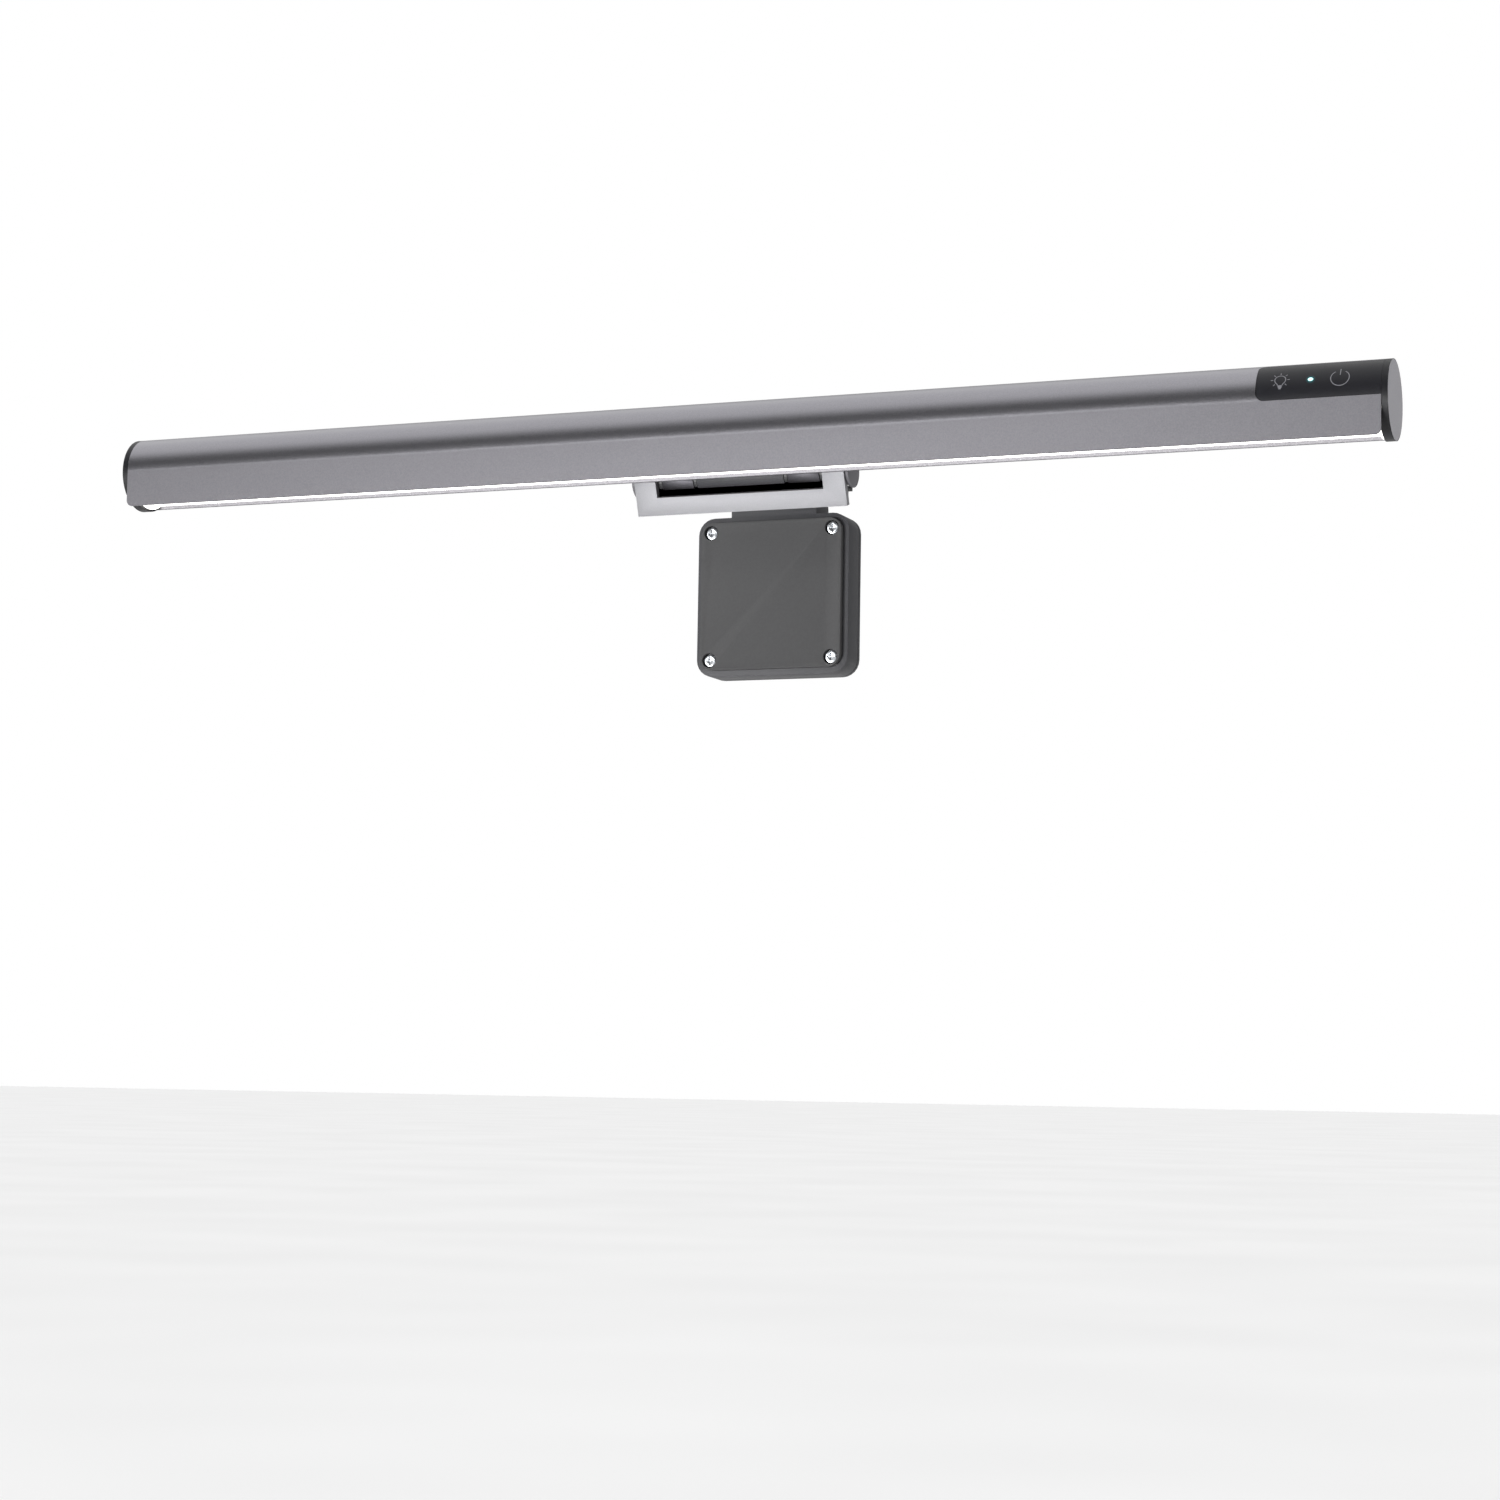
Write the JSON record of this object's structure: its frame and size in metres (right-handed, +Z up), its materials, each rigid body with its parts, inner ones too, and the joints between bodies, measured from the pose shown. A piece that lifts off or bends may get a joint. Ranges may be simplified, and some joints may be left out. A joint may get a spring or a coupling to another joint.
{
  "type": "monitor light bar",
  "caption": "Tubular aluminium monitor lamp with a flat front visor, touch controls and a hinged counterweight clip for a monitor's top edge.",
  "frame": {"origin": "centre of the front pad's contact face, where the clip bears on the monitor's front", "axes": "+X along the lamp towards its touch controls, +Y through the monitor towards its back, +Z up"},
  "size_m": [0.45, 0.0755, 0.0856],
  "materials": {
    "anodised_grey": "sand-blasted, space grey anodised",
    "silver_metal": "satin silver",
    "black_plastic": "satin",
    "dark_plastic": "fine texture",
    "silicone": "matt",
    "opal": "opal",
    "reflector_white": "white",
    "board": "white solder mask",
    "zinc_steel": "zinc plated",
    "red_wire": "PVC",
    "black_wire": "PVC"
  },
  "bodies": {
    "clip": {"claw_frame": "silver_metal", "claw_pad": "silicone", "hinge_pin": "zinc_steel", "pin_cap_left": "dark_plastic", "pin_cap_right": "dark_plastic", "hinge_washer_1": "black_plastic", "hinge_washer_2": "black_plastic", "hinge_washer_3": "black_plastic", "hinge_washer_4": "black_plastic"},
    "lamp": {"lamp_housing": "anodised_grey", "control_panel": "black_plastic", "indicator_lens": "opal", "diffuser": "opal", "light_reflector": "reflector_white", "led_board": "board", "driver_board": "board", "board_screw_1": "zinc_steel", "board_screw_2": "zinc_steel", "usb_shell": "zinc_steel", "usb_tongue": "black_plastic", "led_wire_positive": "red_wire", "led_wire_negative": "black_wire", "touch_spring_light": "zinc_steel", "touch_spring_power": "zinc_steel", "end_cap_left": "black_plastic", "end_cap_right": "black_plastic", "end_disc_left": "anodised_grey", "end_disc_right": "anodised_grey", "end_screw_left_1": "zinc_steel", "end_screw_left_2": "zinc_steel", "end_screw_right_1": "zinc_steel", "end_screw_right_2": "zinc_steel", "lamp_saddle": "anodised_grey", "saddle_screw_1": "zinc_steel", "saddle_screw_2": "zinc_steel", "saddle_screw_3": "zinc_steel", "saddle_screw_4": "zinc_steel"},
    "rear": {"rear_arm": "dark_plastic", "rear_cover": "dark_plastic", "cover_screw_1": "zinc_steel", "cover_screw_2": "zinc_steel", "cover_screw_3": "zinc_steel", "cover_screw_4": "zinc_steel", "counterweight": "zinc_steel", "rear_pad": "silicone"}
  },
  "joints": [
    {"name": "lamp_tilt", "type": "hinge", "parent": "clip", "child": "lamp", "pos_m": [0, -0.0006, 0.00883], "axis": [1, 0, 0], "range_deg": [-25, 25]},
    {"name": "clip_opening", "type": "hinge", "parent": "clip", "child": "rear", "pos_m": [0, -0.0006, 0.00883], "axis": [1, 0, 0], "range_deg": [-20, 60]}
  ]
}
